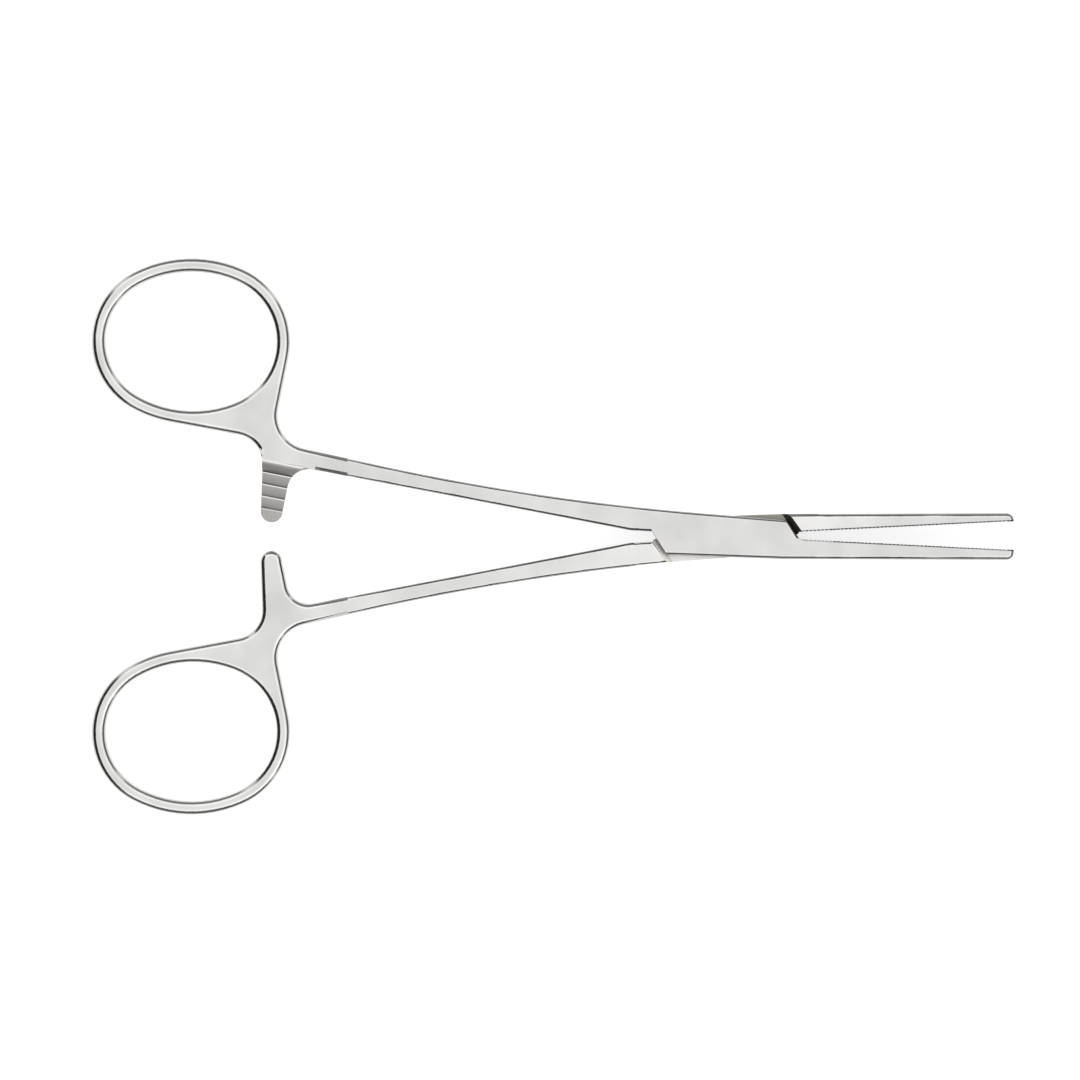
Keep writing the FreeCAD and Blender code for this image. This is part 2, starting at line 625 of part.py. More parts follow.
# The tongue arm is drawn like the box arm, and then lies turned over lengthwise
tongue_handle = forge_handle("tongue_arm")
cut_ratchet(tongue_handle, "90 + tooth_tilt - 2 * rest_half_angle")
tongue_shank = forge_shank("tongue_arm", -1)
cut_tongue(tongue_shank)
cut_serrations(tongue_shank, -1)
tongue_arm = join_arm("tongue_arm", tongue_shank, tongue_handle)
tongue_arm.Placement = Placement(Vector(), Rotation(Vector(1, 0, 0), 180))
tongue_arm.setExpression("Placement.Base.z", formula("box_thickness"))

lock_pin = make_pin()
doc.recompute()

for item in doc.Objects:
    if "Invalid" in item.State or "Error" in item.State:
        raise ValueError(f"{item.Label} failed: {item.State}")

os.makedirs("parts", exist_ok=True)
for part in (box_arm, tongue_arm, lock_pin):
    if part.Shape.isNull() or not part.Shape.isValid():
        raise ValueError(f"{part.Label} isn't a valid solid")
    print(f"{part.Label}: {len(part.Shape.Solids)} solid, {part.Shape.Volume:.1f} mm3")
    part.Shape.exportStep(f"parts/{part.Label}.step")
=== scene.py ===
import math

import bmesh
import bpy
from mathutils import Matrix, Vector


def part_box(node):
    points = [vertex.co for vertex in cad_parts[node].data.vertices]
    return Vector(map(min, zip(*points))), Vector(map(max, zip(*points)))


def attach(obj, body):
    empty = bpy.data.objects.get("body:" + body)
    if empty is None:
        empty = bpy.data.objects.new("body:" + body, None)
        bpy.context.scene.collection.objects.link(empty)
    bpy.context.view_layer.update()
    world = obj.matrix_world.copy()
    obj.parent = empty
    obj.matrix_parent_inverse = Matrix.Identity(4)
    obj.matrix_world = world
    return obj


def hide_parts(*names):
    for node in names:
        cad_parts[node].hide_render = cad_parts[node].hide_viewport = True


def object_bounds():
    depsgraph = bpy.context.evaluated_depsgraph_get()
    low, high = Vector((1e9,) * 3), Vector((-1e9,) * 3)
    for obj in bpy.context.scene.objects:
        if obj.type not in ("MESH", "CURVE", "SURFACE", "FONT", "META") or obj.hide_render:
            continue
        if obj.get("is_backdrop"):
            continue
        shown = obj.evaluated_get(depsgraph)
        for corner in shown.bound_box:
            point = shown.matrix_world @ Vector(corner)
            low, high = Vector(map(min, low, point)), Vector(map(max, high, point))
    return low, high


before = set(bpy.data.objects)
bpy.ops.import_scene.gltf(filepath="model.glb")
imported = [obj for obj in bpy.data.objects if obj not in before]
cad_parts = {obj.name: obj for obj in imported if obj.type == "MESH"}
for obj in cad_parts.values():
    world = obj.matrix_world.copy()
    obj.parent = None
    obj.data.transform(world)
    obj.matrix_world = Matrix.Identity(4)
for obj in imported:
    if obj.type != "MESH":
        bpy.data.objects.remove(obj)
cad_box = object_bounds()

# %% [markdown]
# # A pair of hemostat forceps in satin steel
# The forceps have three parts: the box arm, the tongue arm that passes through it, and the pin that
# holds both. The packed model already has the right shape, but its edges are plain bevels and its
# surface has no finish. So each arm is copied, its edges are rounded the way a polishing wheel rounds
# them, and the steel gets the fine marks of its last polish. Everything is in metres.

MM = 0.001
ARMS = {"box_arm": "box_arm_body", "tongue_arm": "tongue_arm_body"}
scene = bpy.context.scene
print("parts in the frame:", ", ".join(sorted(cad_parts)))
print("size in mm:", [round((high - low) / MM, 2) for low, high in zip(*cad_box)])

# %% [markdown]
# ## The camera
# The photograph looks straight down on the forceps from far away: the finger rings show almost
# nothing of their inner walls. A long lens high above the middle of the picture does the same. Its
# distance follows from the width that the picture covers, so the scale stays right if the lens is
# changed.

# %% Camera above the forceps
FRAME_WIDTH = 164.16 * MM
FRAME_MIDDLE = Vector((-28.3, -0.53, 2.5)) * MM
LENS = 170.0
CLIP_RATIO = 100

lens_data = bpy.data.cameras.new("studio_camera")
lens_data.lens = LENS
camera = bpy.data.objects.new("studio_camera", lens_data)
camera_height = FRAME_WIDTH * LENS / lens_data.sensor_width
camera.location = FRAME_MIDDLE + Vector((0, 0, camera_height))
lens_data.clip_start = camera_height / CLIP_RATIO
lens_data.clip_end = camera_height * CLIP_RATIO
scene.collection.objects.link(camera)
scene.camera = camera
scene.view_settings.view_transform = "Standard"
print("camera height in mm:", round(camera_height / MM))

# %% [markdown]
# ## Whole faces again
# The packed mesh is made of loose triangles, so a copy of it is merged first, and triangles that lie
# in one plane are joined. What comes after works on edges and faces as a maker sees them.

# %% Copy a part
WELD = 0.002 * MM
FLAT = math.radians(0.5)


def merged_copy(node):
    """A part's mesh with its doubles merged and its flat faces whole."""
    work = bmesh.new()
    work.from_mesh(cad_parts[node].data)
    bmesh.ops.remove_doubles(work, verts=work.verts, dist=WELD)
    join_flat_faces(work)
    return work


def join_flat_faces(work):
    """Take out every edge that lies inside a flat face."""
    bmesh.ops.dissolve_limit(work, angle_limit=FLAT, verts=work.verts, edges=work.edges)


def turn_of(edge):
    """How far the surface turns over an edge."""
    return edge.calc_face_angle(0.0)


def roll_over(work, edges, offset, steps):
    """Bevel some edges in steps, which makes them round."""
    bmesh.ops.bevel(work, geom=edges, offset=offset, offset_type="OFFSET", affect="EDGES",
                    segments=steps, profile=0.5, material=-1, clamp_overlap=False)


works = {node: merged_copy(node) for node in ARMS}
for node, work in works.items():
    print(f"{node}: {len(work.faces)} faces")

# %% [markdown]
# ## Serrations of the jaws
# The inner face of each jaw is cut across from root to tip, so that it grips. In the photograph the
# cuts are fine, about 0.6 mm apart and shallow. The packed model has coarser teeth, so its jaw face is
# filled to one level first. That level is chosen for each jaw so that both just meet when the forceps
# close.

# %% Fill the old cuts
HALF_ANGLE = math.radians(2.8)
SIDE = {"box_arm": 1, "tongue_arm": -1}
CREST = {"box_arm": 0.14 * MM, "tongue_arm": -0.16 * MM}
OLD_CREST = -0.11 * MM
OLD_BOTTOM = 0.24 * MM
CUT_FROM = 11.6 * MM
CUT_PITCH = 0.6 * MM


def jaw_axes(node):
    """Direction out of the jaw's inner face, and direction along it to the tip."""
    out = Vector((math.sin(HALF_ANGLE), SIDE[node] * math.cos(HALF_ANGLE), 0))
    along = Vector((math.cos(HALF_ANGLE), -SIDE[node] * math.sin(HALF_ANGLE), 0))
    return out, along


def fill_old_cuts(work, node):
    """Bring the crests and bottoms of the packed model's cuts to one level."""
    out, along = jaw_axes(node)
    for vert in work.verts:
        depth = CREST[node] - vert.co.dot(out)
        if vert.co.dot(along) > CUT_FROM - CUT_PITCH and OLD_CREST < depth < OLD_BOTTOM:
            vert.co += depth * out
            vert.co.x = min(vert.co.x, cad_box[1][0])
    bmesh.ops.remove_doubles(work, verts=work.verts, dist=WELD)
    bmesh.ops.dissolve_degenerate(work, edges=work.edges, dist=WELD)
    join_flat_faces(work)


for node, work in works.items():
    fill_old_cuts(work, node)
    print(f"{node}: {len(work.faces)} faces with its jaw filled")

# %% [markdown]
# Now the filled face gets a narrow bevel along both sides, which shows the cuts as dark dashes from
# above. Planes cut it across at half the pitch, and every second line is pushed into the steel.

# %% Cut the fine serrations
CUT_TO = 43.3 * MM
CUT_DEPTH = 0.13 * MM
CUT_REACH = 1.1
ROOT_END = 13.3 * MM
JAW_BEVEL = 0.20 * MM
LENGTHWISE = 0.9
LEVEL_SIDE = 0.8
ON_LINE = 0.02


def near_jaw_face(work, node, depth):
    """Faces that lie no deeper under the crests than a depth."""
    out, along = jaw_axes(node)
    start = CUT_FROM - 2 * CUT_PITCH
    return [face for face in work.faces if face.calc_center_median().dot(along) > start
            and all(CREST[node] - vert.co.dot(out) < depth for vert in face.verts)]


def on_jaw_side(edge, along):
    """Whether an edge of the inner face borders the top or bottom of the jaw, past its root."""
    direction = (edge.verts[1].co - edge.verts[0].co).normalized()
    return (abs(direction.dot(along)) > LENGTHWISE
            and min(vert.co.dot(along) for vert in edge.verts) > ROOT_END
            and any(abs(face.normal.z) > LEVEL_SIDE for face in edge.link_faces))


def cut_jaw(work, node):
    """Bevel the jaw's inner face along both sides and cut its fine serrations."""
    out, along = jaw_axes(node)
    half_pitch = CUT_PITCH / 2
    inner = near_jaw_face(work, node, WELD)
    sides = {edge for face in inner for edge in face.edges if on_jaw_side(edge, along)}
    roll_over(work, list(sides), JAW_BEVEL, 1)
    cuts = int((CUT_TO - CUT_FROM) / CUT_PITCH) * 2
    for number in range(cuts + 1):
        faces = near_jaw_face(work, node, CUT_REACH * JAW_BEVEL)
        edges = {edge for face in faces for edge in face.edges}
        verts = {vert for face in faces for vert in face.verts}
        bmesh.ops.bisect_plane(work, geom=[*verts, *edges, *faces], dist=WELD / 20,
                               plane_co=along * (CUT_FROM + number * half_pitch), plane_no=along)
    bottoms = 0
    for vert in work.verts:
        number = (vert.co.dot(along) - CUT_FROM) / half_pitch
        line = round(number)
        on_line = abs(number - line) < ON_LINE and 0 < line < cuts and line % 2 == 1
        if on_line and abs(CREST[node] - vert.co.dot(out)) < WELD:
            vert.co -= CUT_DEPTH * out
            bottoms += 1
    return len(inner), len(sides), bottoms


for node, work in works.items():
    print(node, "jaw faces, side edges, groove ends:", cut_jaw(work, node))

# %% [markdown]
# ## The ratchet's shoulder
# Behind the teeth the bar climbs to the full height of the web. The photograph shows no crease at the
# top of that shoulder: it starts as a gentle slope, gets steeper, and is darkest in the last groove.
# The packed model has a hollow ramp there, so its points are moved onto a bulging one. The ratchet
# bars lean by 11 degrees, and the forceps lie open by 5.6 degrees.

# %% Bulge the shoulder
BAR_X = -69.1 * MM
BAR_LEAN = 11
OPEN_TURN = 5.6
TEETH_TURN = {"box_arm": math.radians(90 - BAR_LEAN),
              "tongue_arm": -math.radians(90 + BAR_LEAN - OPEN_TURN)}
THICK = 5.0 * MM
RAMP_START = 9.45 * MM
RAMP_RADIUS = 2.3 * MM
RAMP_TOP = 4.2 * MM
RAMP_LOW = 1.95 * MM
RAMP_EDGE = 0.05 * MM
BELOW_TOP = 0.001 * MM
ON_RAMP = 0.02 * MM


def bulge_shoulder(work, node):
    """Turn the hollow ramp behind the teeth into a bulging one."""
    up_bar = Vector((math.cos(TEETH_TURN[node]), math.sin(TEETH_TURN[node]), 0))
    bar_start = Vector((BAR_X, 0, 0))
    moved = 0
    for vert in work.verts:
        height = vert.co.z if SIDE[node] > 0 else THICK - vert.co.z
        run = (vert.co - bar_start).dot(up_bar) - RAMP_START
        if not (RAMP_EDGE < run < RAMP_RADIUS and RAMP_LOW < height < RAMP_TOP - BELOW_TOP):
            continue
        hollow = RAMP_LOW + RAMP_RADIUS - math.sqrt(RAMP_RADIUS ** 2 - run ** 2)
        if abs(height - hollow) < ON_RAMP:
            share = 1 - run / RAMP_RADIUS
            bulging = RAMP_LOW + (RAMP_TOP - RAMP_LOW) * math.sqrt(1 - share ** 2)
            vert.co.z = bulging if SIDE[node] > 0 else THICK - bulging
            moved += 1
    return moved


for node, work in works.items():
    print(node, "points moved:", bulge_shoulder(work, node))

# %% [markdown]
# ## Rounded edges
# The real arms are forged and ground, and every edge that a hand touches is rolled over softly. The
# finger rings, webs and ratchet bars have bevels of 45 degrees in the packed model. Each border of
# such a bevel is bevelled in a few steps, which turns flat bevels into a round roll. A roll is given
# here by its width and its number of steps.

# %% Round the bevels of the handles
HANDLE_END = -57.0 * MM
BEVEL_TURN = (math.radians(40), math.radians(50))
LEVEL_FACE = 0.9
INNER_ROLL = (0.42 * MM, 4)
OUTER_ROLL = (0.22 * MM, 2)


def bevel_borders(work, inner):
    """The borders of the handle's bevels, towards the flat faces or towards the walls."""
    low, high = BEVEL_TURN
    return [edge for edge in work.edges if low < turn_of(edge) < high and edge.is_convex
            and max(vert.co.x for vert in edge.verts) < HANDLE_END
            and inner == any(abs(face.normal.z) > LEVEL_FACE for face in edge.link_faces)]


for node, work in works.items():
    inner, outer = bevel_borders(work, True), bevel_borders(work, False)
    roll_over(work, inner, *INNER_ROLL)
    roll_over(work, [edge for edge in outer if edge.is_valid], *OUTER_ROLL)
    print(f"{node}: {len(inner) + len(outer)} borders rolled, {len(work.faces)} faces")

# %% [markdown]
# The lock has sharp edges in the packed model. They get a narrow roll, and a wider one where the box
# arm's plates end beside the other shank, which is a broad dark band in the photograph. The rim of
# the pin's bore is made of short edges and stays sharp. The teeth just lose their burr, which leaves
# a fine line that catches light.

# %% Round the lock and break the burrs of the teeth
SHARP_TURN = math.radians(57)
LOCK_REACH = 13.4 * MM
LOCK_EDGE = 2.0 * MM
PLATE_END_FROM, PLATE_END_TO = -11.5 * MM, -9.6 * MM
PLATE_END_EDGE = 3.5 * MM
TEETH_FROM, TEETH_TO = BAR_X - 4 * MM, BAR_X + 7 * MM
CREST_REACH = 0.2 * MM
SAME_LEVEL = 0.01 * MM
ON_FACE = 0.02 * MM
END_ROLL = (0.5 * MM, 4)
LOCK_ROLL = (0.24 * MM, 3)
BURR = (0.08 * MM, 2)


def sharp_edges(work, wanted):
    """Sharp outer edges whose middle is where it is wanted."""
    return [edge for edge in work.edges if edge.is_convex and turn_of(edge) > SHARP_TURN
            and wanted((edge.verts[0].co + edge.verts[1].co) / 2, edge)]


def on_lock(middle, edge):
    """A long edge on the top or bottom face of the lock."""
    on_outside = min(middle.z, THICK - middle.z) < ON_FACE
    return edge.calc_length() > LOCK_EDGE and abs(middle.x) < LOCK_REACH and on_outside


def on_plate_end(middle, edge):
    """On the slanted end of the box arm's plates, beside the tongue arm's shank."""
    at_end = PLATE_END_FROM < middle.x < PLATE_END_TO and edge.calc_length() > PLATE_END_EDGE
    return at_end and on_lock(middle, edge)


def on_teeth(middle, edge):
    """On a crest of the ratchet."""
    level = abs(edge.verts[0].co.z - edge.verts[1].co.z) < SAME_LEVEL
    return level and TEETH_FROM < middle.x < TEETH_TO and abs(middle.z - THICK / 2) < CREST_REACH


def roll_sharp(work, wanted, roll):
    """Round some sharp edges, and say how many."""
    edges = sharp_edges(work, wanted)
    roll_over(work, edges, *roll)
    return len(edges)


for node, work in works.items():
    rolled = [roll_sharp(work, on_plate_end, END_ROLL), roll_sharp(work, on_lock, LOCK_ROLL),
              roll_sharp(work, on_teeth, BURR)]
    print(f"{node}: {rolled} edges of plate ends, lock and teeth rolled, {len(work.faces)} faces")

# %% [markdown]
# ## The finished pieces
# The hollow of the lock will get another finish than the rest, whose colour also carries painted shade
# and painted light. Its faces are known by where they lie and how they lean, and are marked here. Then
# every mesh becomes an object: smooth where the surface turns a little from face to face, crisp where
# it turns a lot.

# %% Mark the blasted faces and make the objects
HOLLOW_REACH = 14.0 * MM
HOLLOW_HALF = 1.2 * MM
SLOPE_HALF = 2.4 * MM
SLOPE_LEAN = (0.3, 0.62)
CRISP = math.radians(36)


def blasting(face):
    """1 for the tongue's flat faces, 0.5 for the slopes that rise from them, 0 for any other."""
    middle = face.calc_center_median()
    if abs(middle.x) > HOLLOW_REACH:
        return 0.0
    off_middle = abs(middle.z - THICK / 2)
    lean = abs(face.normal.z)
    if off_middle < HOLLOW_HALF and lean > LEVEL_FACE:
        return 1.0
    low, high = SLOPE_LEAN
    # Beside the jaw, the slopes' mark picks a nearly black painted shade.
    return 0.5 if low < lean < high and off_middle < SLOPE_HALF else 0.0


def finish_piece(work, node):
    """Make an object of a mesh, with smooth faces between its crisp edges."""
    name = f"{node}_polished"
    marks = work.faces.layers.float.new("blasted")
    for face in work.faces:
        face.smooth = True
        face[marks] = blasting(face) if node == "tongue_arm" else 0.0
    for edge in work.edges:
        edge.smooth = turn_of(edge) < CRISP
    mesh = bpy.data.meshes.new(name)
    work.to_mesh(mesh)
    work.free()
    piece = bpy.data.objects.new(name, mesh)
    scene.collection.objects.link(piece)
    piece.modifiers.new("even_shading", "WEIGHTED_NORMAL").keep_sharp = True
    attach(piece, ARMS[node])
    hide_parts(node)
    return piece


pieces = {node: finish_piece(work, node) for node, work in works.items()}
for piece in pieces.values():
    print(f"{piece.name}: {len(piece.data.polygons)} faces")

# %% [markdown]
# ## The lock pin
# The pin is pressed into the box and ground flush with it, so on the real forceps its end is hardly
# seen. Its shape in the packed model is right and it keeps it. Only its steel is new.

# %% The pin keeps its mesh
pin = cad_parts["lock_pin"]
pin_low, pin_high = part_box("lock_pin")
print("pin height in mm:", round((pin_high.z - pin_low.z) / MM, 2))

# %% [markdown]
# ## Writing a material as sums
# A finish is mostly arithmetic on positions and noise. Blender does that with nodes, one for each
# sum, which are slow to wire by hand. The small class here holds one socket. Python's own signs on it
# add the Math nodes, and one method adds any other kind of node. Places in the materials are in
# millimetres, because the forceps' details are easier to read that way.

# %% A socket that can be added and multiplied
class Wire:
    """A value in a node tree. Sums on it add Math nodes."""

    def __init__(self, tree, socket=None):
        self.tree = tree
        self.socket = socket

    def node(self, kind, settings, inputs, output=0):
        """Add a node: its type, its settings, and the values or wires of its sockets."""
        made = self.tree.nodes.new(kind)
        for name, value in settings.items():
            setattr(made, name, value)
        for name, value in inputs.items():
            if isinstance(value, Wire):
                self.tree.links.new(value.socket, made.inputs[name])
            else:
                made.inputs[name].default_value = value
        return Wire(self.tree, made.outputs[output])

    def sum(self, operation, first, second=0.0):
        return self.node("ShaderNodeMath", {"operation": operation}, {0: first, 1: second})

    def __add__(self, other):
        return self.sum("ADD", self, other)

    def __sub__(self, other):
        return self.sum("SUBTRACT", self, other)

    def __rsub__(self, other):
        return self.sum("SUBTRACT", other, self)

    def __mul__(self, other):
        return self.sum("MULTIPLY", self, other)

    def alone(self, operation):
        """A sum of this value by itself, such as its sine."""
        return self.sum(operation, self)

    def __abs__(self):
        return self.alone("ABSOLUTE")

    __radd__ = __add__
    __rmul__ = __mul__

    def step(self, low, high):
        """0 below low, 1 above high, and a soft rise between."""
        return self.node("ShaderNodeMapRange", {"interpolation_type": "SMOOTHSTEP"},
                         {"Value": self, "From Min": low, "From Max": high})

    def band(self, low, high, soft):
        """1 between low and high, with soft borders."""
        return self.step(low - soft, low + soft) * (1 - self.step(high - soft, high + soft))

    def part(self, axis):
        """One coordinate of a position or direction."""
        return self.node("ShaderNodeSeparateXYZ", {}, {"Vector": self}, output=axis)

    def stretched(self, along, across, upright):
        """A position with its three axes scaled by themselves."""
        return self.node("ShaderNodeVectorMath", {"operation": "MULTIPLY"},
                         {0: self, 1: (along, across, upright)})

    def noise(self, scale, detail, roughness=0.5):
        """Cloudy noise from 0 to 1 at a position."""
        return self.node("ShaderNodeTexNoise", {}, {"Vector": self, "Scale": scale, "Detail": detail,
                                                    "Roughness": roughness})

    def blend(self, first, second):
        """First value where this is 0, second where it is 1."""
        return self.node("ShaderNodeMix", {}, {0: self, 2: first, 3: second})

    def blend_colours(self, first, second):
        """First colour where this is 0, second where it is 1."""
        return self.node("ShaderNodeMix", {"data_type": "RGBA"}, {0: self, 6: first, 7: second}, output=2)


print("a wire adds nodes for + - * abs and:", ", ".join(name for name in vars(Wire) if name[0] != "_"))

# %% [markdown]
# ## Satin steel
# Surgical steel is ground, polished and then brushed to a satin, so that it doesn't dazzle under the
# lamp. Seen close, the satin is very fine lines along the arm, and a faint grain on the rings, which
# are too small to show a direction. Soft clouds lie over it where the wheel pressed harder. The lines
# go mostly into a very shallow bump, and the clouds into the brightness and the roughness.

# %% Brushed lines and clouds
SATIN = (0.78, 0.775, 0.765, 1.0)
RING_BORDER = (-73.0, -66.0)
LINE_STRETCH = (0.5, 9.0, 9.0)
LINE_NOISE = (1.0, 4.0, 0.6)
GRAIN_NOISE = (14.0, 2.0)
CLOUD_NOISE = (0.16, 2.0)


def brushing(place, x):
    """Lines along the arms, and a grain on the rings."""
    on_ring = 1 - x.step(*RING_BORDER)
    lines = place.stretched(*LINE_STRETCH).noise(*LINE_NOISE)
    return on_ring.blend(lines, place.noise(*GRAIN_NOISE))


print("clouds are about", round(1 / CLOUD_NOISE[0], 1), "mm wide")

# %% [markdown]
# Every roll that leans away from the flat faces is darkened with painted shade, which stands for the dark
# surroundings that such an edge mirrors. The painted line is stronger on the shanks, the lock and the jaws
# than on the handles. Walls that stand upright get less of it, painted light that makes them lighter again.

# %% Painted shade on the rolls
SHANK_BORDER = (-58.0, -54.0)
HANDLE_PAINTED_EDGE = (0.34, (0.85, 0.97), 0.14, (0.15, 0.60))
SLIM_PAINTED_EDGE = (0.60, (0.88, 0.985), 0.26, (0.05, 0.30))


def painted_roll_shade(upright, roll, roll_lean, wall, wall_lean):
    """Painted shade of a roll, less painted shade on the wall below it, between two leans each."""
    return roll * (1 - upright.step(*roll_lean)) - wall * (1 - upright.step(*wall_lean))


def painted_edge_shade(x):
    """The painted shade of every roll on an arm, with its lighter walls."""
    upright = abs(x.node("ShaderNodeTexCoord", {}, {}, output="Normal").part("Z"))
    slim = x.step(*SHANK_BORDER)
    return painted_roll_shade(upright, *HANDLE_PAINTED_EDGE) * (1 - slim) + painted_roll_shade(upright, *SLIM_PAINTED_EDGE) * slim


print("rolls of handles and shanks are darker by", HANDLE_PAINTED_EDGE[0], "and", SLIM_PAINTED_EDGE[0])

# %% [markdown]
# ## Other finishes
# Three places have another finish, and their colours carry painted shade and light. The hollow of the
# lock is blasted with beads and never polished: a matt, grainy beige grey, darkened by painted shade beside
# the upper jaw, with a nearly black slope of painted shade at the jaw's root, and finer and brighter with
# painted light beside the shank. It was marked on the mesh, because the places where it begins are
# corners of the shape.
#
# The faces of the ratchet are milled half way through the bar: darker, with lines along the teeth and
# painted shade in each groove and on the shoulder. The crests keep the bright satin colour, a painted
# highlight.

# %% The milled ratchet
MILLED = (0.46, 0.45, 0.435, 1.0)
TOOTH_PITCH = 1.8
FIRST_WALL = 4.05
TEETH_BEFORE = 10
TEETH_END = (9.40, 9.50)
CREST_START = (3.5, 3.6)
CREST_SHARE = (0.87, 0.93)
MILLED_TOP = (4.02, 4.12)
MILLED_BOTTOM = (1.5, 1.7)
MILLED_X = (-74.0, -62.0, 0.5)
MILLED_Y = (12.2, 12.6)
CUTTER_STRETCH = (0.7, 6.0, 1.0)
CUTTER_NOISE = (1.0, 3.0)
GROOVE_SHADE, GROOVE_START, GROOVE_LEVEL = 0.30, (3.9, 4.1), (1.9, 2.5)
SHOULDER_SHADE, SHOULDER_LEVEL = 0.45, (2.1, 4.1)


def ratchet(place, x, y, z, node):
    """Where the arm is milled, where its teeth are, its cutter lines, and the shade of its grooves."""
    level = z if SIDE[node] > 0 else THICK / MM - z
    turn = TEETH_TURN[node]
    run = (x - BAR_X / MM) * math.cos(turn) + y * math.sin(turn)
    teeth = 1 - run.step(*TEETH_END)
    tooth = ((run - FIRST_WALL) * (1 / TOOTH_PITCH) + TEETH_BEFORE).alone("FRACT")
    # Painted highlight: the crests keep the satin colour.
    crest = teeth * run.step(*CREST_START) * tooth.step(*CREST_SHARE)
    milled = (1 - level.step(*MILLED_TOP)) * level.step(*MILLED_BOTTOM) * x.band(*MILLED_X)
    milled = milled * (1 - abs(y).step(*MILLED_Y)) * (1 - crest)
    cutter = place.stretched(*CUTTER_STRETCH).noise(*CUTTER_NOISE)
    # Painted shade, deepest at the root of each groove and at the foot of the shoulder.
    grooves = GROOVE_SHADE * teeth * run.step(*GROOVE_START) * (1 - level.step(*GROOVE_LEVEL))
    grooves = grooves + SHOULDER_SHADE * (1 - teeth) * (1 - level.step(*SHOULDER_LEVEL))
    return milled, teeth, cutter, grooves


print("walls of the teeth in mm:", [round(FIRST_WALL + number * TOOTH_PITCH, 2) for number in range(4)])

# %% [markdown]
# The serrations of the jaws are cut last, and their cuts are darkened with painted shade. From above they
# show as a dashed line along the inner edge, which is stronger on the upper jaw.

# %% Painted shade in the cuts of the jaws
CUT_SHADE = {"box_arm": 0.6, "tongue_arm": 1.0}
CUT_FADE = (0.14, 0.30)
CUT_START = (11.0, 11.8)
DASH_WAVE = (-1.0, 0.6)
DASH_GAP, DASH_SHADE = 0.50, 0.45


def painted_cut_shade(x, y, node):
    """The painted shade in the cuts."""
    out, _ = jaw_axes(node)
    under_crest = CREST[node] / MM - x * out.x - y * out.y
    in_cut = (1 - under_crest.step(*CUT_FADE)) * x.step(*CUT_START)
    dashes = (x * (2 * math.pi / (CUT_PITCH / MM))).alone("SINE").step(*DASH_WAVE)
    return in_cut * (DASH_GAP + DASH_SHADE * dashes) * CUT_SHADE[node]


print("one dash every", round(CUT_PITCH / MM, 2), "mm")

# %% [markdown]
# Everything comes together in one material for each arm. The colours are chosen by the masks, and one
# shade from 0 to about 1 makes them brighter or darker, which also carries the painted shade and light.
# The fine blasting and the ratchet's shoulder scatter light like a matt stone, so they are only partly
# metal here. The tongue arm's lock and shank get painted light, a little brighter than the box arm's.

# %% The finishes of the steel
# Blasted steel in painted shade and in painted light, and a nearly black painted shade for the slope at the
# jaw's root.
BEAD_BLAST_PAINTED_SHADE = (0.44, 0.42, 0.385, 1.0)
FINE_BEAD_BLAST_PAINTED_LIGHT = (0.90, 0.88, 0.85, 1.0)
SLOPE_PAINTED_SHADE = (0.12, 0.11, 0.095, 1.0)
LOCK_MIDDLE = (-3.0, 3.0)
HOLLOW_MARK, FLAT_MARK = (0.2, 0.4), (0.6, 0.9)
SPECKLE_NOISE, SPECKLE_MIDDLE = (5.0, 3.0, 0.7), 0.4
SHADE = {"plain": 0.79, "clouds": 0.36, "lines": 0.02, "speckle": 0.35, "cutter": 0.08, "tongue": 0.10}
# Where the tongue arm gets its painted light, in millimetres.
TONGUE_PAINTED_LIGHT_X = (-24.0, 21.0, 6.0)
ROUGH = {"plain": 0.13, "clouds": 0.06, "lines": 0.06, "hollow": 0.42, "milled": 0.25}
NOT_METAL = {"fine blasting": 0.8, "shoulder": 0.6}
RELIEF = {"lines": 0.35, "speckle": 2.4, "cutter": 1.2}
BUMP = {"Strength": 0.35, "Distance": 0.006 * MM}


def start_material(name):
    """A new material, and a position in millimetres."""
    material = bpy.data.materials.new(name)
    material.use_nodes = True
    place = Wire(material.node_tree).node("ShaderNodeTexCoord", {}, {}, output="Object")
    return material, place.stretched(1 / MM, 1 / MM, 1 / MM)


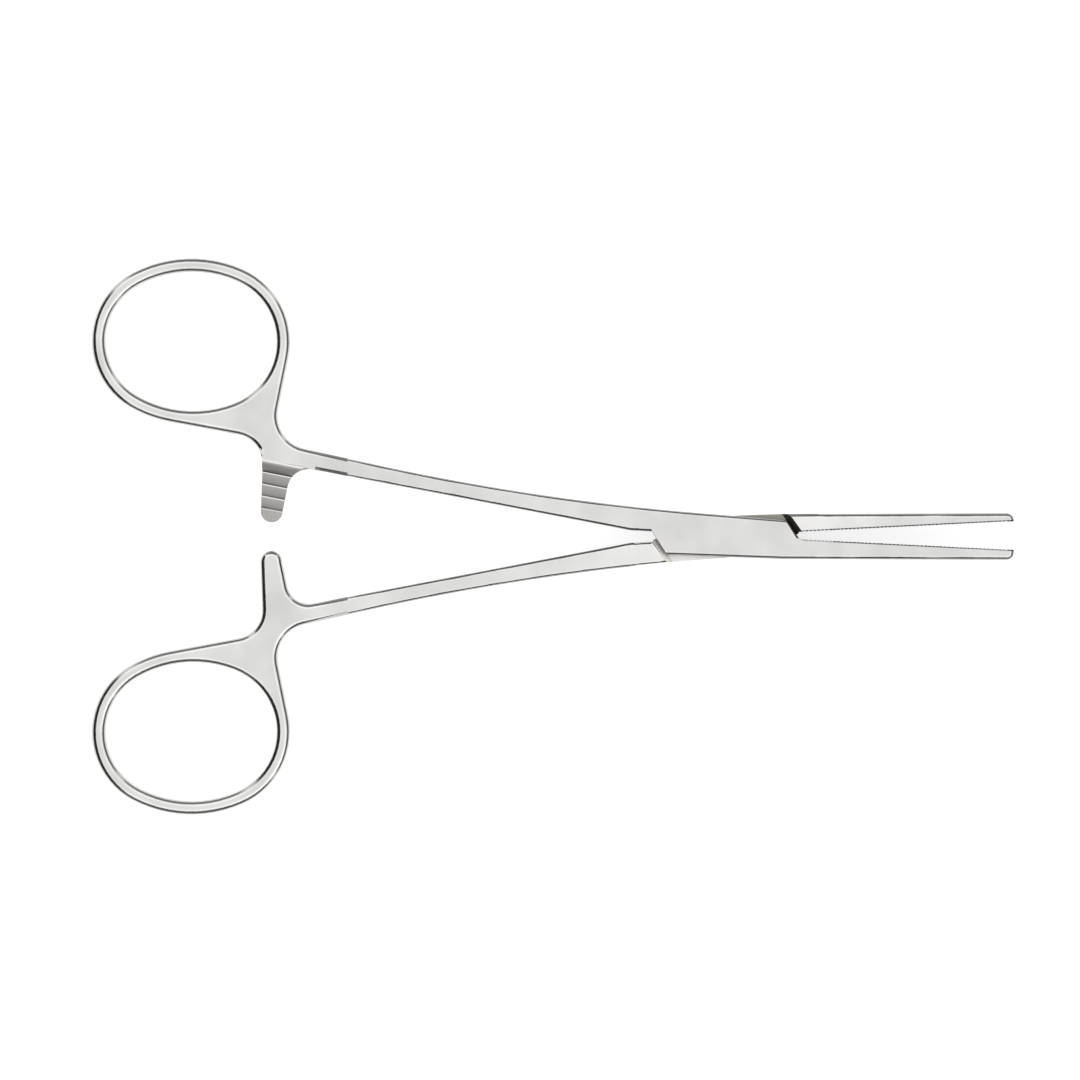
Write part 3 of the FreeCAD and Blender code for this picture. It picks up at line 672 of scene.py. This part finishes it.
def satin_steel(name, node):
    """Satin steel with a blasted hollow in the lock, a milled ratchet and cut serrations, plus painted shade
    and light.
    """
    material, place = start_material(name)
    x, y, z = (place.part(axis) for axis in "XYZ")
    brushed = brushing(place, x)
    clouds = place.noise(*CLOUD_NOISE)
    milled, teeth, cutter, grooves = ratchet(place, x, y, z, node)

    blasted = x.node("ShaderNodeAttribute", {"attribute_name": "blasted"}, {}, output="Fac")
    hollow = blasted.step(*HOLLOW_MARK)
    speckle = place.noise(*SPECKLE_NOISE)
    by_jaw = x.step(*LOCK_MIDDLE)

    # Beside the jaw the hollow takes the darker copy and the near-black slope, both painted shade; beside
    # the shank the brighter copy, painted light.
    jaw_side_painted_shade = blasted.step(*FLAT_MARK).blend_colours(SLOPE_PAINTED_SHADE, BEAD_BLAST_PAINTED_SHADE)
    colour = hollow.blend_colours(SATIN, by_jaw.blend_colours(FINE_BEAD_BLAST_PAINTED_LIGHT, jaw_side_painted_shade))
    colour = milled.blend_colours(colour, MILLED)

    shade = SHADE["plain"] + SHADE["clouds"] * clouds + SHADE["lines"] * brushed
    shade = shade - SHADE["speckle"] * hollow * (speckle - SPECKLE_MIDDLE)
    shade = shade - SHADE["cutter"] * milled * cutter
    # Painted light: the tongue arm is brighter around its lock and shank.
    if node == "tongue_arm":
        shade = shade + SHADE["tongue"] * x.band(*TONGUE_PAINTED_LIGHT_X) * (1 - hollow)
    # Painted shade: the ratchet's grooves, the darker rolls with their lighter walls, and the cuts of the
    # jaws.
    shade = (shade - milled * grooves) * (1 - painted_edge_shade(x) * (1 - hollow)) * (1 - painted_cut_shade(x, y, node))
    tint = shade.node("ShaderNodeCombineXYZ", {}, {"X": shade, "Y": shade, "Z": shade})
    colour = tint.node("ShaderNodeVectorMath", {"operation": "MULTIPLY"}, {0: colour, 1: tint})

    rough = ROUGH["plain"] + ROUGH["clouds"] * clouds + ROUGH["lines"] * brushed
    rough = rough + ROUGH["hollow"] * hollow + ROUGH["milled"] * milled
    matt = NOT_METAL["fine blasting"] * hollow * (1 - by_jaw) + NOT_METAL["shoulder"] * milled * (1 - teeth)
    height = RELIEF["lines"] * brushed + hollow * speckle * RELIEF["speckle"]
    height = height + milled * cutter * RELIEF["cutter"]
    relief = height.node("ShaderNodeBump", {}, {**BUMP, "Height": height})

    made = {"Base Color": colour, "Metallic": 1 - matt, "Roughness": rough, "Normal": relief}
    shader = material.node_tree.nodes["Principled BSDF"]
    for socket, wire in made.items():
        material.node_tree.links.new(wire.socket, shader.inputs[socket])
    print(f"{name}: {len(material.node_tree.nodes)} nodes")
    return material


finishes = {node: satin_steel(f"{node}_satin", node) for node in ARMS}
for node, material in finishes.items():
    pieces[node].data.materials.append(material)
pin.material_slots[0].material = finishes["box_arm"]

# %% [markdown]
# ## The studio
# The picture has a pure white ground. The floor takes that white from its own colour, not from more
# light: rays from the camera and from the steel see a floor that glows by itself and takes the rest
# from the room, so part of the forceps' shadow stays on it. All other rays meet plain white paper.

# %% White floor
FLOOR_REACH = 3.0
PAPER = 0.85
SEEN_WHITE = 0.78
SHADOW_SHARE = 0.42


def grey_tone(value):
    """A grey colour."""
    return value, value, value, 1.0


def bare_material(name):
    """A material without nodes, and a wire that adds its first ones."""
    material = bpy.data.materials.new(name)
    material.use_nodes = True
    material.node_tree.nodes.clear()
    return material, Wire(material.node_tree)


def show(look):
    """Send a shader to its material's output."""
    end = look.tree.nodes.new("ShaderNodeOutputMaterial")
    look.tree.links.new(look.socket, end.inputs["Surface"])


def seen_directly(blank):
    """1 for rays from the camera, from steel and through glass."""
    paths = blank.tree.nodes.new("ShaderNodeLightPath")
    seen = [Wire(blank.tree, paths.outputs[name]) for name in
            ("Is Camera Ray", "Is Glossy Ray", "Is Transmission Ray")]
    return seen[0] + seen[1] + seen[2]


def stage_object(name, work, material):
    """An object of the studio, made of a mesh and its material."""
    mesh = bpy.data.meshes.new(name)
    work.to_mesh(mesh)
    work.free()
    mesh.materials.append(material)
    made = bpy.data.objects.new(name, mesh)
    scene.collection.objects.link(made)
    return made


paper, blank = bare_material("white_paper")
matt = blank.node("ShaderNodeBsdfDiffuse", {}, {"Color": grey_tone(PAPER)})
faint = blank.node("ShaderNodeBsdfDiffuse", {}, {"Color": grey_tone(SHADOW_SHARE)})
glow = blank.node("ShaderNodeEmission", {}, {"Strength": SEEN_WHITE})
bright = blank.node("ShaderNodeAddShader", {}, {0: faint, 1: glow})
show(blank.node("ShaderNodeMixShader", {}, {0: seen_directly(blank), 1: matt, 2: bright}))

work = bmesh.new()
bmesh.ops.create_grid(work, x_segments=2, y_segments=2, size=FLOOR_REACH)
floor = stage_object("studio_floor", work, paper)
floor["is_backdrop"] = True
print("floor width in metres:", 2 * FLOOR_REACH)

# %% [markdown]
# The world is white as well, a little brighter at the walls than overhead. The flat faces mirror the
# ceiling, so they come out a calm light grey, and the faces that lean get a brighter rim.

# %% White room
WALL_LIGHT = 1.25
CEILING_LIGHT = 0.94
CEILING_BORDER = (0.80, 0.985)

world = bpy.data.worlds.new("white_room")
world.use_nodes = True
height = Wire(world.node_tree).node("ShaderNodeTexCoord", {}, {}, output="Generated").part("Z")
light = WALL_LIGHT - (WALL_LIGHT - CEILING_LIGHT) * height.step(*CEILING_BORDER)
background = world.node_tree.nodes["Background"]
background.inputs["Color"].default_value = grey_tone(1.0)
world.node_tree.links.new(light.socket, background.inputs["Strength"])
scene.world = world
print("light of walls and ceiling:", WALL_LIGHT, CEILING_LIGHT)

# %% [markdown]
# Polished steel shows its surroundings, so in an all white room its edges would vanish. Photographers
# hang cards round the object, which draw a dark line along each edge. In the photograph the lines are
# black on edges that face left, and grey below a bright rim on those that face right and down. The
# camera and the paper don't see the cards, and the cards throw no shadow.

# %% Cards round the forceps
CARD_DISTANCE = 0.7
CARD_LOW = -6


def hang_card(name, azimuth, spread, high, grey):
    """A card that stands at an azimuth and reaches up to an elevation, in degrees.

    It starts as a square of one metre, is scaled, stood up, and turned to its place.
    """
    work = bmesh.new()
    bmesh.ops.create_grid(work, x_segments=1, y_segments=1, size=0.5)
    bottom = CARD_DISTANCE * math.tan(math.radians(CARD_LOW))
    top = CARD_DISTANCE * math.tan(math.radians(high))
    width = 2 * CARD_DISTANCE * math.tan(math.radians(spread))
    bmesh.ops.scale(work, verts=work.verts, vec=(width, top - bottom, 1))
    bmesh.ops.rotate(work, verts=work.verts, matrix=Matrix.Rotation(math.radians(90), 3, "X"))
    bmesh.ops.translate(work, verts=work.verts, vec=(0, CARD_DISTANCE, (top + bottom) / 2))
    bmesh.ops.rotate(work, verts=work.verts, matrix=Matrix.Rotation(math.radians(azimuth - 90), 3, "Z"))
    coat, blank = bare_material(name)
    show(blank.node("ShaderNodeEmission", {}, {"Color": grey_tone(grey)}))
    card = stage_object(name, work, coat)
    card.visible_camera = False
    card.visible_diffuse = False
    card.visible_shadow = False
    card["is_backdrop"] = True
    print(f"{name}: up to {high} degrees")


hang_card("black_card_left", 184, 42, 52, 0.01)
hang_card("grey_card_right", 0, 40, 42, 0.16)
hang_card("grey_card_front", 270, 44, 42, 0.14)
hang_card("grey_card_back", 90, 38, 42, 0.26)

# %% A softbox for the bright rims
SOFTBOX_PLACE = (0.62, -0.62, 0.8)
SOFTBOX_SIZE = (1.1, 0.35)
SOFTBOX_WATTS = 1.2

soft_data = bpy.data.lights.new("softbox", "AREA")
soft_data.shape = "RECTANGLE"
soft_data.size, soft_data.size_y = SOFTBOX_SIZE
soft_data.energy = SOFTBOX_WATTS
softbox = bpy.data.objects.new("softbox", soft_data)
softbox.location = SOFTBOX_PLACE
softbox.rotation_euler = (-Vector(SOFTBOX_PLACE)).to_track_quat("-Z", "Y").to_euler()
scene.collection.objects.link(softbox)
print("softbox energy in watts:", soft_data.energy)

# %% [markdown]
# ## Both sizes
# The box of the packed model and the box of the polished pieces are both put in a table, and the size of the
# polished pieces is printed.

# %% Both boxes in a table
boxes = {"cad": [list(corner) for corner in cad_box], "visual": [list(corner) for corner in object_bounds()]}
print("visual size in mm:", [round((high - low) / MM, 2) for low, high in zip(*boxes["visual"])])
